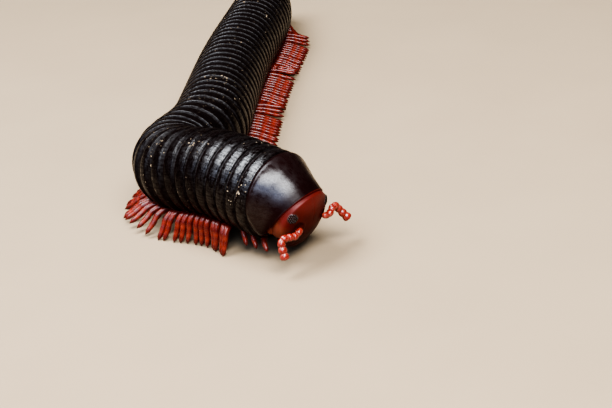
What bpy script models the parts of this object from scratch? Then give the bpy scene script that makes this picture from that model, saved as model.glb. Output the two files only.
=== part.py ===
"""A red-legged millipede at rest, life size, in metres with +Z up.

The animal stands on z = 0. Its long axis runs along +Y from the head to the tail, the front third
turns to the side, and the origin is under the middle of its outline. Lengths below are millimetres.
"""

import math

import bmesh
import bpy
import numpy as np
from mathutils import Vector

MM = 0.001

# Driving sizes of the trunk
BODY_RADIUS = 5.25
BELLY_FLAT = 0.93
RING_COUNT = 52
PITCH_FRONT = 1.5
PITCH_MIDDLE = 2.02
PITCH_TAIL = 1.6
PITCH_RISE_RINGS = 14
PITCH_FALL_RINGS = 12
RING_STEP = 0.962
RIM_LENGTH = 0.12
TAIL_TAPER_LENGTH = 17.0
TAIL_RADIUS_SHARE = 0.74
NODE_RINGS = (5, 4, 3, 3, 4, 5, 5, 5, 5, 5, 5, 3)
JOINT_GAP = 0.3

# The route of the body, seen from above and from the side
HEAD_HEADING = -43.5
BENDS = ((19.0, 14.6, -79.0), (29.0, 17.0, 25.0), (60.0, 24.0, -4.0), (90.0, 26.0, 11.0))
AXIS_HEIGHT = 6.05
BELLY_CLEAR = AXIS_HEIGHT - BODY_RADIUS * BELLY_FLAT
ARCH_HEIGHT = 1.7
ARCH_AT = 8.6
ARCH_WIDTH = 9.2
ROUTE_STEP = 0.25
ROUTE_LENGTH = 112.0
ROUTE_LEAD = 14.0

# Legs
LEG_THICK = 0.74
FOOT_THICK = 0.56
LEG_SIDES = 4
HIP_OUT = 0.95
HIP_SUNK = 0.75
KNEE_OUT = 4.45
KNEE_UP = 0.25
SHIN_LENGTH = 3.75
SHIN_SHORTER_PER_HEIGHT = 0.32
SHIN_LEAN = 0.55
FOOT_DROP = 0.42
STRAIGHTEST_SHIN = 0.98
ANKLE_TO_FOOT = 0.35
LEG_PLACES = (0.26, 0.70)
SINGLE_PAIR_RINGS = 3
LEGLESS_TAIL_RINGS = 2
WAVE_LEGS = 17.0
WAVE_SWING = 0.42
WAVE_LIFT = 1.25
WAVE_STANDS_BELOW = 0.55
KNEE_LIFT_SHARE = 0.45
KNEE_SWING_SHARE = 0.5
SMALL_LEG_SHARE = 0.8
FIRST_LEG_SWING = 1.9
FIRST_LEG_LIFT = 1.4
FIRST_KNEE_OUT = 2.9
FIRST_LEG_REACH = 0.7
KNEE_IN_PER_HEIGHT = 0.55
KNEE_IN_PER_CURVE = 9.0
CROWDED_CURVE = 0.055
CROWDED_REACH = 3.3
LEAST_REACH = 0.3

# Collum, the smooth hood behind the head
COLLUM_TOP = ((0.0, 5.25), (1.6, 4.82), (3.0, 3.88), (4.25, 2.93), (5.1, 2.25))
COLLUM_FOOT = ((0.0, -4.3), (0.5, -4.2), (0.95, -3.95), (1.25, -3.5), (1.48, -3.03))
COLLUM_HALF_WIDTH = (5.25, 5.05, 4.77, 4.55, 4.38)
COLLUM_WAIST = (0.5, 0.64, 0.75, 0.81, 0.82)

# Head, a dome on the plane of the hood's front margin. Each row gives how far it stands out at
# its top and at its foot, where its top and foot are below the margin's top, and its half width.
FACE_PITCH = 34.4
HEAD_ROWS = (
    (0.3, 0.3, 0.25, 6.2, 3.65),
    (0.55, 1.85, 0.35, 7.0, 3.7),
    (1.25, 2.5, 1.15, 7.3, 3.02),
    (2.0, 2.8, 2.35, 6.8, 1.95),
)
HEAD_FRONT = (2.8, 4.3)
HEAD_SIDES = 20
JAW_PLACE = (1.02, 4.25, 3.28)
JAW_HALF = (0.7, 1.35, 0.72)

# Eyes and antennae, given as forward, left and up from the middle of the hood's rear rim
EYE_PLACE = (4.86, 2.88, 0.05)
EYE_FACES = (0.62, 0.76, 0.1)
EYE_HALF = (0.36, 0.74, 0.72)
ANTENNA_NEAR = (
    (5.33, 2.0, -1.5),
    (5.3, 2.9, -1.95),
    (5.2, 3.9, -1.75),
    (4.95, 4.65, -1.8),
    (5.05, 4.95, -2.4),
    (5.75, 5.1, -3.9),
)
ANTENNA_FAR = (
    (5.33, 2.0, -1.5),
    (5.4, 2.9, -1.6),
    (5.2, 3.7, -1.25),
    (5.1, 4.5, -1.35),
    (5.4, 5.0, -2.1),
    (6.2, 5.65, -3.15),
)
ANTENNA_ARTICLES = 7
ARTICLE_RADIUS = (0.4, 0.54)
ARTICLE_WAIST = 0.72
ANTENNA_SIDES = 8
SOCKET_POINTS = 7

# Tail end
TELSON_LENGTH = 2.6
TELSON_ROWS = ((0.0, 0.985), (0.35, 0.93), (0.7, 0.78), (1.0, 0.6))
VALVE_LENGTH = 1.5
VALVE_SHARE = 0.5
VALVE_ROWS = ((0.0, 1.0), (0.45, 0.9), (0.8, 0.62), (1.0, 0.3))
VALVE_POINTS = 10

RING_SIDES = 24

CUTICLE = (0.012, 0.006, 0.005)
RED_BROWN = (0.16, 0.018, 0.009)
CORAL = (0.52, 0.06, 0.03)
EYE_BLACK = (0.004, 0.004, 0.005)


def smooth(t):
    """A soft step from 0 to 1."""
    t = min(1.0, max(0.0, t))
    return t * t * (3.0 - 2.0 * t)


def axis_height(s):
    """Height of the body's middle line above the floor, s behind the hood's rear rim."""
    return AXIS_HEIGHT + ARCH_HEIGHT * math.exp(-(((s - ARCH_AT) / ARCH_WIDTH) ** 2))


def rearward_heading(s):
    """Direction of the body, from the head to the tail, seen from above."""
    angle = HEAD_HEADING + 180.0
    for middle, spread, turn in BENDS:
        angle += turn * smooth((s - middle + spread / 2.0) / spread)
    return math.radians(angle)


def walk_route():
    """Points of the middle line, from ahead of the head to past the tail, on an even step."""
    steps = [-ROUTE_LEAD + ROUTE_STEP * i for i in range(int((ROUTE_LEAD + ROUTE_LENGTH) / ROUTE_STEP) + 1)]
    points = [Vector((0.0, 0.0, axis_height(steps[0])))]
    for s in steps[:-1]:
        rise = axis_height(s + ROUTE_STEP) - axis_height(s)
        run = math.sqrt(ROUTE_STEP**2 - rise**2)
        angle = rearward_heading(s + ROUTE_STEP / 2.0)
        points.append(points[-1] + Vector((run * math.cos(angle), run * math.sin(angle), rise)))
    rim = points[int(round(ROUTE_LEAD / ROUTE_STEP))]
    return [point - Vector((rim.x, rim.y, 0.0)) for point in points]


ROUTE = walk_route()


class Station:
    """A place on the middle line with its forward, left and up directions."""

    def __init__(self, s):
        at = (s + ROUTE_LEAD) / ROUTE_STEP
        i = min(len(ROUTE) - 3, max(1, int(at)))
        part = at - i
        self.s = s
        self.centre = ROUTE[i].lerp(ROUTE[i + 1], part)
        ahead = (ROUTE[i - 1] - ROUTE[i + 1]).normalized()
        further = (ROUTE[i] - ROUTE[i + 2]).normalized()
        self.forward = ahead.lerp(further, part).normalized()
        self.left = Vector((0.0, 0.0, 1.0)).cross(self.forward).normalized()
        self.up = self.forward.cross(self.left)

    def place(self, forward, left, up):
        return self.centre + self.forward * forward + self.left * left + self.up * up


def curve_at(s):
    """How sharply the body turns, one over the radius; above zero where the left side is inside."""
    change = rearward_heading(s + ROUTE_STEP) - rearward_heading(s - ROUTE_STEP)
    return -change / (2.0 * ROUTE_STEP)


def ring_pitch(k):
    rise = (PITCH_MIDDLE - PITCH_FRONT) * smooth(k / PITCH_RISE_RINGS)
    fall = (PITCH_MIDDLE - PITCH_TAIL) * smooth((k - RING_COUNT + PITCH_FALL_RINGS) / PITCH_FALL_RINGS)
    return PITCH_FRONT + rise - fall


RING_EDGES = [0.0]
for ring_number in range(RING_COUNT):
    RING_EDGES.append(RING_EDGES[-1] + ring_pitch(ring_number))
TRUNK_END = RING_EDGES[-1]


def body_radius(s):
    taper = smooth((s - TRUNK_END + TAIL_TAPER_LENGTH) / TAIL_TAPER_LENGTH)
    return BODY_RADIUS * (1.0 - (1.0 - TAIL_RADIUS_SHARE) * taper)


def section(station, radius, forward=0.0, sides=RING_SIDES):
    """One cross-section of the trunk, round with a flatter belly."""
    points = []
    for i in range(sides):
        angle = 2.0 * math.pi * (i + 0.5) / sides
        up = max(radius * math.cos(angle), -radius * BELLY_FLAT)
        points.append(station.place(forward, radius * math.sin(angle), up))
    return points


def loft(name, rows, tip=None):
    """A closed mesh object through rows of points, each row turning the same way."""
    mesh = bmesh.new()
    layers = [[mesh.verts.new(point * MM) for point in row] for row in rows]
    count = len(rows[0])
    for lower, upper in zip(layers, layers[1:]):
        for i in range(count):
            j = (i + 1) % count
            mesh.faces.new((lower[i], lower[j], upper[j], upper[i]))
    mesh.faces.new(list(reversed(layers[0])))
    if tip is None:
        mesh.faces.new(layers[-1])
    else:
        point = mesh.verts.new(tip * MM)
        for i in range(count):
            mesh.faces.new((layers[-1][i], layers[-1][(i + 1) % count], point))
    bmesh.ops.triangulate(mesh, faces=mesh.faces[:])
    bmesh.ops.recalc_face_normals(mesh, faces=mesh.faces[:])
    data = bpy.data.meshes.new(name)
    mesh.to_mesh(data)
    mesh.free()
    return bpy.data.objects.new(name, data)


def tube(name, points, radii, sides, last_flat=False):
    """A closed tube of few sides along points, with a level last face where it stands on the floor."""
    rows = []
    side_way = None
    for i, point in enumerate(points):
        before = points[max(0, i - 1)]
        after = points[min(len(points) - 1, i + 1)]
        along = (after - before).normalized()
        if last_flat and i == len(points) - 1:
            along = Vector((0.0, 0.0, -1.0))
        if side_way is None:
            side_way = along.orthogonal() if abs(along.z) > 0.9 else along.cross(Vector((0.0, 0.0, 1.0)))
        side_way = (side_way - along * side_way.dot(along)).normalized()
        other_way = along.cross(side_way)
        row = []
        for k in range(sides):
            angle = 2.0 * math.pi * (k + 0.5) / sides
            row.append(point + (side_way * math.cos(angle) + other_way * math.sin(angle)) * radii[i])
        rows.append(row)
    return loft(name, rows)


def leg_places(first_ring, last_ring):
    """Where legs stand on a run of rings: place along the body, side and number of the pair."""
    for ring in range(first_ring, min(last_ring, RING_COUNT - LEGLESS_TAIL_RINGS)):
        start, end = RING_EDGES[ring], RING_EDGES[ring + 1]
        single = ring < SINGLE_PAIR_RINGS
        for order, share in enumerate((0.5,) if single else LEG_PLACES):
            s = start + (end - start) * share
            pair = ring if single else SINGLE_PAIR_RINGS + (ring - SINGLE_PAIR_RINGS) * 2 + order
            for side in (-1, 1):
                inner = side * curve_at(s)
                if order == 1 and inner > CROWDED_CURVE:
                    continue
                yield s, side, pair


def leg(s, side, pair):
    """One leg: out from the belly, over the knee and down to a small flat on the floor."""
    station = Station(s)
    radius = body_radius(s)
    size = radius / BODY_RADIUS
    inner = max(0.0, side * curve_at(s))
    above = station.centre.z - radius * BELLY_FLAT - BELLY_CLEAR
    front = pair < SINGLE_PAIR_RINGS
    if front:
        size *= SMALL_LEG_SHARE
        swing = FIRST_LEG_SWING
        lift = FIRST_LEG_LIFT
        knee_lift = 0.0
        knee_out = FIRST_KNEE_OUT
    else:
        phase = 2.0 * math.pi * pair / WAVE_LEGS
        swing = WAVE_SWING * math.sin(phase)
        lift = WAVE_LIFT * max(0.0, math.cos(phase) - WAVE_STANDS_BELOW) / (1.0 - WAVE_STANDS_BELOW)
        knee_lift = lift * KNEE_LIFT_SHARE
        knee_out = KNEE_OUT * size - inner * KNEE_IN_PER_CURVE - above * KNEE_IN_PER_HEIGHT
    hip = station.place(0.0, side * HIP_OUT * size, -radius * BELLY_FLAT + HIP_SUNK)
    knee = station.place(swing * KNEE_SWING_SHARE, side * knee_out, 0.0)
    knee.z = hip.z - HIP_SUNK + KNEE_UP + knee_lift
    shin = SHIN_LENGTH * size - above * SHIN_SHORTER_PER_HEIGHT
    drop = min(knee.z - lift, shin * STRAIGHTEST_SHIN)
    reach = math.sqrt(shin * shin - drop * drop)
    if inner > CROWDED_CURVE:
        reach = min(reach, max(LEAST_REACH, CROWDED_REACH - knee_out))
    if front:
        reach = FIRST_LEG_REACH
    foot = station.place(swing, side * (knee_out + reach), 0.0)
    foot.z = lift
    ankle = knee.lerp(foot, SHIN_LEAN).lerp(foot, ANKLE_TO_FOOT)
    ankle.z = max(knee.lerp(foot, SHIN_LEAN).z, lift + FOOT_DROP)
    thick = LEG_THICK / 2.0
    radii = (thick, thick, (LEG_THICK + FOOT_THICK) / 4.0, FOOT_THICK / 2.0)
    return tube("leg", [hip, knee, ankle, foot], radii, LEG_SIDES, last_flat=True)


def keep_largest(obj):
    """Drop every loose surface but the largest one."""
    mesh = bmesh.new()
    mesh.from_mesh(obj.data)
    unseen = set(mesh.verts)
    shells = []
    while unseen:
        shell = set()
        edge_of_shell = [unseen.pop()]
        while edge_of_shell:
            vertex = edge_of_shell.pop()
            shell.add(vertex)
            for edge in vertex.link_edges:
                other = edge.other_vert(vertex)
                if other in unseen:
                    unseen.discard(other)
                    edge_of_shell.append(other)
        shells.append(shell)
    shells.sort(key=len)
    loose = [vertex for shell in shells[:-1] for vertex in shell]
    bmesh.ops.delete(mesh, geom=loose, context="VERTS")
    bmesh.ops.triangulate(mesh, faces=mesh.faces[:])
    mesh.to_mesh(obj.data)
    mesh.free()


def boolean(obj, operation, others):
    """Join or cut others with obj, applied, and remove them."""
    group = bpy.data.collections.new("joining")
    bpy.context.scene.collection.children.link(group)
    bpy.context.scene.collection.objects.link(obj)
    for other in others:
        group.objects.link(other)
    modifier = obj.modifiers.new("join", "BOOLEAN")
    modifier.operation = operation
    modifier.operand_type = "COLLECTION"
    modifier.collection = group
    modifier.solver = "EXACT"
    graph = bpy.context.evaluated_depsgraph_get()
    data = bpy.data.meshes.new_from_object(obj.evaluated_get(graph))
    obj.modifiers.clear()
    obj.data = data
    for other in others:
        bpy.data.objects.remove(other)
    bpy.data.collections.remove(group)
    bpy.context.scene.collection.objects.unlink(obj)
    keep_largest(obj)


def finish(obj, name, colour, roughness, animal):
    """Name the object, give it its material and put it in the animal's collection."""
    obj.name = name
    obj.data.name = name
    material = bpy.data.materials.new(name)
    material.use_nodes = True
    shader = material.node_tree.nodes["Principled BSDF"]
    shader.inputs["Base Color"].default_value = (*colour, 1.0)
    shader.inputs["Roughness"].default_value = roughness
    shader.inputs["Metallic"].default_value = 0.0
    obj.data.materials.clear()
    obj.data.materials.append(material)
    obj.data.shade_smooth()
    obj.data.set_sharp_from_angle(angle=math.radians(35.0))
    animal.objects.link(obj)


def trunk_length(number, first_ring, last_ring, animal):
    """A run of rings with their legs, its two end faces parallel to the next run's."""
    start, end = RING_EDGES[first_ring], RING_EDGES[last_ring]
    rows = [section(Station(start), body_radius(start) * RING_STEP, -JOINT_GAP / 2.0)]
    for ring in range(first_ring, last_ring):
        if ring > first_ring:
            s = RING_EDGES[ring]
            rows.append(section(Station(s), body_radius(s) * RING_STEP))
        s = RING_EDGES[ring + 1] - RIM_LENGTH
        if ring < last_ring - 1:
            rows.append(section(Station(s), body_radius(s)))
    rows.append(section(Station(end), body_radius(end), JOINT_GAP / 2.0))
    core = loft("core", rows)
    legs = [leg(*place) for place in leg_places(first_ring, last_ring)]
    if legs:
        boolean(core, "UNION", legs)
    finish(core, f"trunk_{number:02d}", CUTICLE, 0.25, animal)


def collum(animal):
    """The hood: from a full round at the back to its sloping front margin."""
    station = Station(0.0)
    rows = []
    sizes = zip(COLLUM_TOP, COLLUM_FOOT, COLLUM_HALF_WIDTH, COLLUM_WAIST)
    for (top_f, top_u), (foot_f, foot_u), half, waist in sizes:
        shift = JOINT_GAP / 2.0 if not rows else 0.0
        row = []
        for i in range(RING_SIDES):
            angle = 2.0 * math.pi * (i + 0.5) / RING_SIDES
            rise = math.cos(angle)
            down = waist * (1.0 - rise) if rise > 0.0 else waist - (1.0 - waist) * rise
            forward = top_f + (foot_f - top_f) * down + shift
            up = top_u + (foot_u - top_u) * down
            row.append(station.place(forward, half * math.sin(angle), up))
        rows.append(row)
    finish(loft("collum", rows), "collum", CUTICLE, 0.2, animal)


def face_point(depth, down, left):
    """A point ahead of the hood's margin plane, down from the margin's top and to the left."""
    pitch = math.radians(FACE_PITCH)
    forward = COLLUM_TOP[-1][0] + depth * math.cos(pitch) - down * math.sin(pitch)
    up = COLLUM_TOP[-1][1] - depth * math.sin(pitch) - down * math.cos(pitch)
    return Station(0.0).place(forward, left, up)


def ball(centre, axes, sizes):
    """A ball of few faces stretched to its half sizes along three directions."""
    mesh = bmesh.new()
    bmesh.ops.create_uvsphere(mesh, u_segments=12, v_segments=8, radius=1.0)
    for vertex in mesh.verts:
        point = centre.copy()
        for axis, half, value in zip(axes, sizes, vertex.co):
            point += axis * value * half
        vertex.co = point * MM
    bmesh.ops.recalc_face_normals(mesh, faces=mesh.faces[:])
    data = bpy.data.meshes.new("ball")
    mesh.to_mesh(data)
    mesh.free()
    return bpy.data.objects.new("ball", data)


def eye_ball(side, grow=0.0):
    """The eye's low dome, flat along the way it faces, or its wider socket."""
    station = Station(0.0)
    centre = station.place(EYE_PLACE[0], side * EYE_PLACE[1], EYE_PLACE[2])
    out = station.place(EYE_FACES[0], side * EYE_FACES[1], EYE_FACES[2]) - station.centre
    out.normalize()
    across = station.up.cross(out).normalized()
    return ball(centre, (out, across, out.cross(across)), [half + grow for half in EYE_HALF])


def jaw_base(side):
    """The swelling at the base of the jaw, low on the side of the head."""
    depth, down, left = JAW_PLACE
    centre = face_point(depth, down, side * left)
    out = (face_point(1.0, 0.0, 0.0) - face_point(0.0, 0.0, 0.0)).normalized()
    below = (face_point(0.0, 1.0, 0.0) - face_point(0.0, 0.0, 0.0)).normalized()
    return ball(centre, (out, below, out.cross(below)), JAW_HALF)


def head_and_eyes(animal):
    """The head's dome with the jaw bases, a socket for each eye and feeler, and the two eyes."""
    rows = []
    for depth_top, depth_foot, top, foot, half_width in HEAD_ROWS:
        row = []
        for i in range(HEAD_SIDES):
            angle = 2.0 * math.pi * (i + 0.5) / HEAD_SIDES
            down = (1.0 - math.cos(angle)) / 2.0
            depth = depth_top + (depth_foot - depth_top) * down
            row.append(face_point(depth, top + (foot - top) * down, half_width * math.sin(angle)))
        rows.append(row)
    head = loft("head", rows, tip=face_point(HEAD_FRONT[0], HEAD_FRONT[1], 0.0))
    boolean(head, "UNION", [jaw_base(-1.0), jaw_base(1.0)])
    places = {"eye_right": -1.0, "eye_left": 1.0}
    sockets = [eye_ball(side, JOINT_GAP) for side in places.values()]
    for side, route in ((-1.0, ANTENNA_NEAR), (1.0, ANTENNA_FAR)):
        points, radii = antenna_line(side, route)
        behind = points[0] + (points[0] - points[1]).normalized() * JOINT_GAP
        wider = [radius + JOINT_GAP for radius in radii[:SOCKET_POINTS]]
        sockets.append(tube("socket", [behind] + points[1:SOCKET_POINTS], wider, ANTENNA_SIDES))
    boolean(head, "DIFFERENCE", sockets)
    finish(head, "head", RED_BROWN, 0.25, animal)
    for name, side in places.items():
        finish(eye_ball(side), name, EYE_BLACK, 0.15, animal)


def antenna_line(side, route):
    """Points and radii of a feeler: narrow at its joints, full between them, wider to the tip."""
    station = Station(0.0)
    knots = [station.place(forward, side * left, up) for forward, left, up in route]
    lengths = [0.0]
    for first, second in zip(knots, knots[1:]):
        lengths.append(lengths[-1] + (second - first).length)
    places = np.linspace(0.0, lengths[-1], 2 * ANTENNA_ARTICLES + 1)
    axes = [np.interp(places, lengths, [knot[i] for knot in knots]) for i in range(3)]
    points = [Vector(point) for point in zip(*axes)]
    radii = []
    for i in range(len(points)):
        wide = ARTICLE_RADIUS[0] + (ARTICLE_RADIUS[1] - ARTICLE_RADIUS[0]) * i / (len(points) - 1)
        radii.append(wide if i % 2 else wide * ARTICLE_WAIST)
    return points, radii


def antenna(name, side, route, animal):
    """A feeler of bead-like joints along a short bent route."""
    points, radii = antenna_line(side, route)
    finish(tube(name, points, radii, ANTENNA_SIDES), name, CORAL, 0.3, animal)


def tail_end(animal):
    """The last ring, which narrows behind, and the two valves that close it."""
    base = Station(TRUNK_END)
    radius = body_radius(TRUNK_END)
    rows = []
    for share, size in TELSON_ROWS:
        back = JOINT_GAP / 2.0 + share * (TELSON_LENGTH - JOINT_GAP / 2.0)
        rows.append(section(base, radius * size, -back))
    finish(loft("telson", rows), "telson", CUTICLE, 0.25, animal)
    for name, side in (("valve_right", -1.0), ("valve_left", 1.0)):
        height = radius * VALVE_SHARE
        rows = []
        for share, size in VALVE_ROWS:
            back = TELSON_LENGTH + JOINT_GAP + share * VALVE_LENGTH
            row = []
            for i in range(VALVE_POINTS):
                angle = math.pi * i / (VALVE_POINTS - 1)
                left = side * (JOINT_GAP / 2.0 + height * size * math.sin(angle))
                row.append(base.place(-back, left, height * size * math.cos(angle)))
            rows.append(row)
        finish(loft(name, rows), name, RED_BROWN, 0.3, animal)


def clear_scene():
    for obj in list(bpy.data.objects):
        bpy.data.objects.remove(obj, do_unlink=True)


def centre_on_origin(animal):
    """Put the origin under the middle of the whole outline."""
    low = Vector((1e9, 1e9, 0.0))
    high = Vector((-1e9, -1e9, 0.0))
    for obj in animal.objects:
        for vertex in obj.data.vertices:
            low.x, low.y = min(low.x, vertex.co.x), min(low.y, vertex.co.y)
            high.x, high.y = max(high.x, vertex.co.x), max(high.y, vertex.co.y)
    middle = (low + high) / 2.0
    for obj in animal.objects:
        for vertex in obj.data.vertices:
            vertex.co -= middle
    print("moved by", [round(value / MM, 3) for value in -middle])


def main():
    clear_scene()
    animal = bpy.data.collections.new("millipede")
    bpy.context.scene.collection.children.link(animal)
    head_and_eyes(animal)
    antenna("antenna_right", -1.0, ANTENNA_NEAR, animal)
    antenna("antenna_left", 1.0, ANTENNA_FAR, animal)
    collum(animal)
    first = 0
    for number, rings in enumerate(NODE_RINGS, start=1):
        trunk_length(number, first, first + rings, animal)
        first += rings
    tail_end(animal)
    centre_on_origin(animal)


main()
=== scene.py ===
# %% [markdown]
# # A red-legged millipede
# The imported model is the fixed frame: it says where the animal stands and how its body runs.
# This lesson dresses it: shell rings, hood, head, eyes, feelers, legs and tail, each with the
# finish of the real part. The frame is loaded first.

# %% Load the frame
import math
from contextlib import contextmanager

import bpy
import numpy as np
from mathutils import Matrix, Quaternion, Vector


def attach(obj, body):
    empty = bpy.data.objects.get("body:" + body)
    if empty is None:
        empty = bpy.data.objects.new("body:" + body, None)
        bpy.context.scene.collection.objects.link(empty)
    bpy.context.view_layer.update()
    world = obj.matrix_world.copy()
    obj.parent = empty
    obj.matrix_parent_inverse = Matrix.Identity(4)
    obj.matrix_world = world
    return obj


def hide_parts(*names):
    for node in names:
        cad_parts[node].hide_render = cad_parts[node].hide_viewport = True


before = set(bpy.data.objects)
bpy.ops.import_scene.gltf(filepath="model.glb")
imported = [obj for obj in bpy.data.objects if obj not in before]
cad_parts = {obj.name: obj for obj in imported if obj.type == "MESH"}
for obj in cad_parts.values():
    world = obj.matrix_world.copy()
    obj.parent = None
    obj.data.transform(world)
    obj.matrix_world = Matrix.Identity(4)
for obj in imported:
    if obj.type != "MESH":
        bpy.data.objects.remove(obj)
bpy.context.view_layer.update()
MM = 0.001
print("nodes in the frame:", len(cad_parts))

# %% [markdown]
# ## The route of the body
# A millipede is a row of rings along one line. The line is walked in small steps: at each step
# the body's heading and height are known, so the points add up to the route. It could be drawn
# as a curve by hand and the rings bent along it with a Curve modifier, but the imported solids
# were laid out by these numbers, and the same numbers put every ring over its solid. Only the
# first ring is a third of a millimetre wider here, which eases off over the next fourteen.

# %% Numbers of the route, in millimetres
BODY_RADIUS = 5.25
BELLY_FLAT = 0.93
RING_COUNT = 52
PITCH_FRONT, PITCH_MIDDLE, PITCH_TAIL = 1.5, 2.02, 1.6
PITCH_RISE_RINGS, PITCH_FALL_RINGS = 14, 12
FIRST_RING_WIDER, WIDER_RINGS = 0.32, 14
TAIL_TAPER_LENGTH, TAIL_RADIUS_SHARE = 17.0, 0.74
HEAD_HEADING = -43.5
# each bend: its middle, how far it spreads, and its turn in degrees
BENDS = ((19.0, 14.6, -79.0), (29.0, 17.0, 25.0), (60.0, 24.0, -4.0), (90.0, 26.0, 11.0))
AXIS_HEIGHT, ARCH_HEIGHT, ARCH_AT, ARCH_WIDTH = 6.05, 1.7, 8.6, 9.2
ROUTE_STEP, ROUTE_LENGTH, ROUTE_LEAD = 0.25, 112.0, 14.0
RIM_PLACE = (5.734, -44.534)


def smooth(t):
    """A soft step from 0 to 1, for a number or an array."""
    t = np.clip(t, 0, 1)
    return t * t * (3.0 - 2.0 * t)


def axis_height(s):
    return AXIS_HEIGHT + ARCH_HEIGHT * np.exp(-(((s - ARCH_AT) / ARCH_WIDTH) ** 2))


def rearward_heading(s):
    """Direction from head to tail, seen from above, s behind the hood's rear rim."""
    angle = HEAD_HEADING + 180.0
    for middle, spread, turn in BENDS:
        angle = angle + turn * smooth((s - middle + spread / 2.0) / spread)
    return np.radians(angle)


def curve_at(s):
    """One over the radius of the bend, above zero where the left side is inside."""
    turned = rearward_heading(s + ROUTE_STEP) - rearward_heading(s - ROUTE_STEP)
    return -turned / (2.0 * ROUTE_STEP)


# %% Walk the route
ROUTE_S = np.arange(int((ROUTE_LEAD + ROUTE_LENGTH) / ROUTE_STEP) + 1) * ROUTE_STEP - ROUTE_LEAD
rise = np.diff(axis_height(ROUTE_S))
run = np.sqrt(ROUTE_STEP**2 - rise**2)
angle = rearward_heading(ROUTE_S[:-1] + ROUTE_STEP / 2.0)
ROUTE = np.zeros((len(ROUTE_S), 3))
ROUTE[1:, :2] = np.cumsum(run * np.stack((np.cos(angle), np.sin(angle))), axis=1).T
ROUTE[:, :2] += RIM_PLACE - ROUTE[round(ROUTE_LEAD / ROUTE_STEP), :2]
ROUTE[:, 2] = axis_height(ROUTE_S)


def unit(vectors):
    return vectors / np.linalg.norm(vectors, axis=-1, keepdims=True)


FORWARD = -unit(np.gradient(ROUTE, axis=0))


def values_at(s, places, rows):
    """Rows of numbers that are known at places along a line, read at s."""
    return np.stack([np.interp(s, places, rows[:, i]) for i in range(rows.shape[1])], -1)


def frames_at(s):
    """Centre, forward, left and up at places along the route, one row each."""
    centre = values_at(s, ROUTE_S, ROUTE)
    forward = unit(values_at(s, ROUTE_S, FORWARD))
    left = unit(np.cross((0.0, 0.0, 1.0), forward))
    return centre, forward, left, np.cross(forward, left)


# %% Edges of the rings


def ring_pitch(k):
    grown = (PITCH_MIDDLE - PITCH_FRONT) * smooth(k / PITCH_RISE_RINGS)
    near_tail = smooth((k - RING_COUNT + PITCH_FALL_RINGS) / PITCH_FALL_RINGS)
    fall = (PITCH_MIDDLE - PITCH_TAIL) * near_tail
    return float(PITCH_FRONT + grown - fall)


RING_EDGES = [0.0]
for number in range(RING_COUNT):
    RING_EDGES.append(RING_EDGES[-1] + ring_pitch(number))
TRUNK_END = RING_EDGES[-1]
for number in range(1, RING_COUNT):
    RING_EDGES[number] += FIRST_RING_WIDER * (1.0 - float(smooth((number - 1) / WIDER_RINGS)))


def body_radius(s):
    taper = smooth((s - TRUNK_END + TAIL_TAPER_LENGTH) / TAIL_TAPER_LENGTH)
    return BODY_RADIUS * (1.0 - (1.0 - TAIL_RADIUS_SHARE) * taper)


def lay(points):
    """From the straight animal (back, right, up in millimetres) to the route, in metres.

    Ahead of the hood's rim and behind the last ring the body goes straight on.
    """
    s = np.clip(points[:, 0], 0.0, TRUNK_END)
    ahead = (s - points[:, 0])[:, None]
    centre, forward, left, up = frames_at(s)
    return (centre + forward * ahead - left * points[:, 1:2] + up * points[:, 2:3]) * MM


print("trunk length along the route:", round(TRUNK_END, 1), "mm")

# %% [markdown]
# ## The camera
# The animal is seen from its front and right, from a little above, with a long lens. The camera
# is aimed at the middle of the hood's rear rim: azimuth, elevation, roll, the distance and the
# pixels that a millimetre takes there are the five things that fix a view.

# %% Camera
IMAGE_WIDTH, IMAGE_HEIGHT = 612, 408
VIEW_DEGREES = (0.9, 24.14, 6.24)
VIEW_DISTANCE, PIXELS_PER_MM = 145.4, 8.79
AIM_PIXEL = (276.46, 195.73)
SENSOR_WIDTH = 36.0
azimuth, elevation, roll = map(math.radians, VIEW_DEGREES)
look = Vector((
    math.sin(azimuth) * math.cos(elevation),
    math.cos(azimuth) * math.cos(elevation),
    -math.sin(elevation),
))
level = Vector((math.cos(azimuth), -math.sin(azimuth), 0.0))
upright = level.cross(look)
camera_right = level * math.cos(roll) - upright * math.sin(roll)
camera_up = level * math.sin(roll) + upright * math.cos(roll)
focal = PIXELS_PER_MM * VIEW_DISTANCE
offset = (AIM_PIXEL[0] - IMAGE_WIDTH / 2, IMAGE_HEIGHT / 2 - AIM_PIXEL[1])
ray = camera_right * offset[0] + camera_up * offset[1] + look * focal
aim = Vector(frames_at(np.array([0.0]))[0][0])
camera_data = bpy.data.cameras.new("camera")
camera = bpy.data.objects.new("camera", camera_data)
bpy.context.scene.collection.objects.link(camera)
camera_data.sensor_width = SENSOR_WIDTH
camera_data.lens = SENSOR_WIDTH * focal / IMAGE_WIDTH
camera_data.clip_start, camera_data.clip_end = 0.005, 20.0
turn = Matrix((camera_right, camera_up, -look)).transposed().to_4x4()
camera.matrix_world = Matrix.Translation((aim - ray * (VIEW_DISTANCE / focal)) * MM) @ turn
bpy.context.scene.camera = camera
print("lens", round(camera_data.lens, 1), "mm")

# %% [markdown]
# ## Tools for the shapes
# Every piece is made the same way: a primitive is shaped, its places are moved onto the animal,
# its normals are set outwards, and it rides on the one body. The helpers below say each of these
# once. A profile turned round an axis gives rings, legs and feeler joints alike, so `spun` is
# used most: the points of a circle primitive are set on the profile and the spin operator turns it.

# %% Select, read and move


def only(*objects):
    """Select these objects and nothing else."""
    bpy.ops.object.select_all(action="DESELECT")
    for obj in objects:
        obj.select_set(True)
    bpy.context.view_layer.objects.active = objects[0]


def coordinates(obj):
    values = np.empty(len(obj.data.vertices) * 3)
    obj.data.vertices.foreach_get("co", values)
    return values.reshape(-1, 3)


def move_to(obj, points):
    obj.data.vertices.foreach_set("co", np.ascontiguousarray(points, dtype=float).ravel())
    obj.data.update()


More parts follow.
